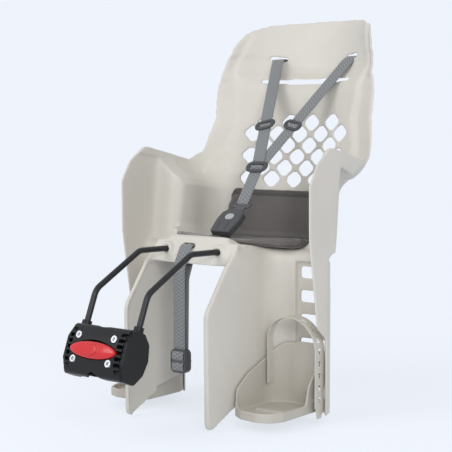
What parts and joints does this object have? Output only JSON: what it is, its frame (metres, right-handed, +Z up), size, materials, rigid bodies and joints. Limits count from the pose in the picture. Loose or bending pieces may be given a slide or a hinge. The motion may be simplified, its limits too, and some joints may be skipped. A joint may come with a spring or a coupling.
{
  "type": "child bike seat",
  "caption": "Rear child bike seat: moulded shell with mesh back, padded seat, harness and adjustable footrests, on a bent rod held in a quick-release seat-tube clamp.",
  "frame": {"origin": "middle of the seat tube clamp, on the tube's axis", "axes": "+Z up, +Y to the rear of the bike, +X to the child's left"},
  "size_m": [0.41, 0.644, 0.6883],
  "materials": {
    "shell": "fine-grained moulded polypropylene",
    "foot": "fine-grained moulded polypropylene",
    "foot_band": "flexible smooth polymer band",
    "pad": "matt laminated foam cover",
    "webbing": "woven polyester webbing",
    "fitting": "satin moulded",
    "press": "satin moulded",
    "rod": "satin black powder coat",
    "block": "glass-filled nylon, fine grain",
    "red": "gloss",
    "steel": "zinc plated",
    "grip": "matt"
  },
  "bodies": {
    "seat": {"seat_shell": "shell", "seat_pad": "pad", "support_rod": "rod", "rod_screws": "steel", "clamp_housing": "block", "front_grip": "grip", "clamp_bolts": "steel", "left_shoulder_strap": "webbing", "right_shoulder_strap": "webbing", "left_strap_slider": "fitting", "right_strap_slider": "fitting", "left_strap_anchor": "fitting", "right_strap_anchor": "fitting", "chest_slider": "fitting", "buckle_body": "fitting", "buckle_tongue": "fitting", "crotch_strap": "webbing", "crotch_anchor": "fitting", "safety_strap": "webbing", "safety_buckle": "fitting"},
    "left_foot": {"left_footrest": "foot", "left_foot_strap": "foot_band"},
    "right_foot": {"right_footrest": "foot", "right_foot_strap": "foot_band"},
    "release": {"release_button": "red"},
    "left_latch": {"left_latch_bar": "steel"},
    "right_latch": {"right_latch_bar": "steel"},
    "buckle_press": {"buckle_button": "press"},
    "rear_jaw": {"clamp_jaw": "block", "rear_grip": "grip", "clamp_nuts": "steel"}
  },
  "joints": [
    {"name": "left_footrest_height", "type": "slide", "parent": "seat", "child": "left_foot", "axis": [0, 0, 1], "range_m": [0, 0.09]},
    {"name": "right_footrest_height", "type": "slide", "parent": "seat", "child": "right_foot", "axis": [0, 0, 1], "range_m": [0, 0.09]},
    {"name": "release_press", "type": "slide", "parent": "seat", "child": "release", "axis": [0, 0.9239, -0.3827], "range_m": [0, 0.0035], "stiffness_N_per_m": 800, "springref_m": -0.002},
    {"name": "left_latch_draw", "type": "slide", "parent": "seat", "child": "left_latch", "axis": [-1, 0, 0], "range_m": [0, 0.0045]},
    {"name": "right_latch_draw", "type": "slide", "parent": "seat", "child": "right_latch", "axis": [1, 0, 0], "range_m": [0, 0.0045]},
    {"name": "buckle_press", "type": "slide", "parent": "seat", "child": "buckle_press", "axis": [0, 0.6, -0.8], "range_m": [0, 0.002], "stiffness_N_per_m": 1500, "springref_m": -0.001},
    {"name": "rear_jaw_open", "type": "slide", "parent": "seat", "child": "rear_jaw", "axis": [0, 0.9239, -0.3827], "range_m": [0, 0.005]}
  ],
  "couplings": [
    {"joint": "left_latch_draw", "follows": "release_press", "ratio": 1.2857},
    {"joint": "right_latch_draw", "follows": "release_press", "ratio": 1.2857}
  ]
}
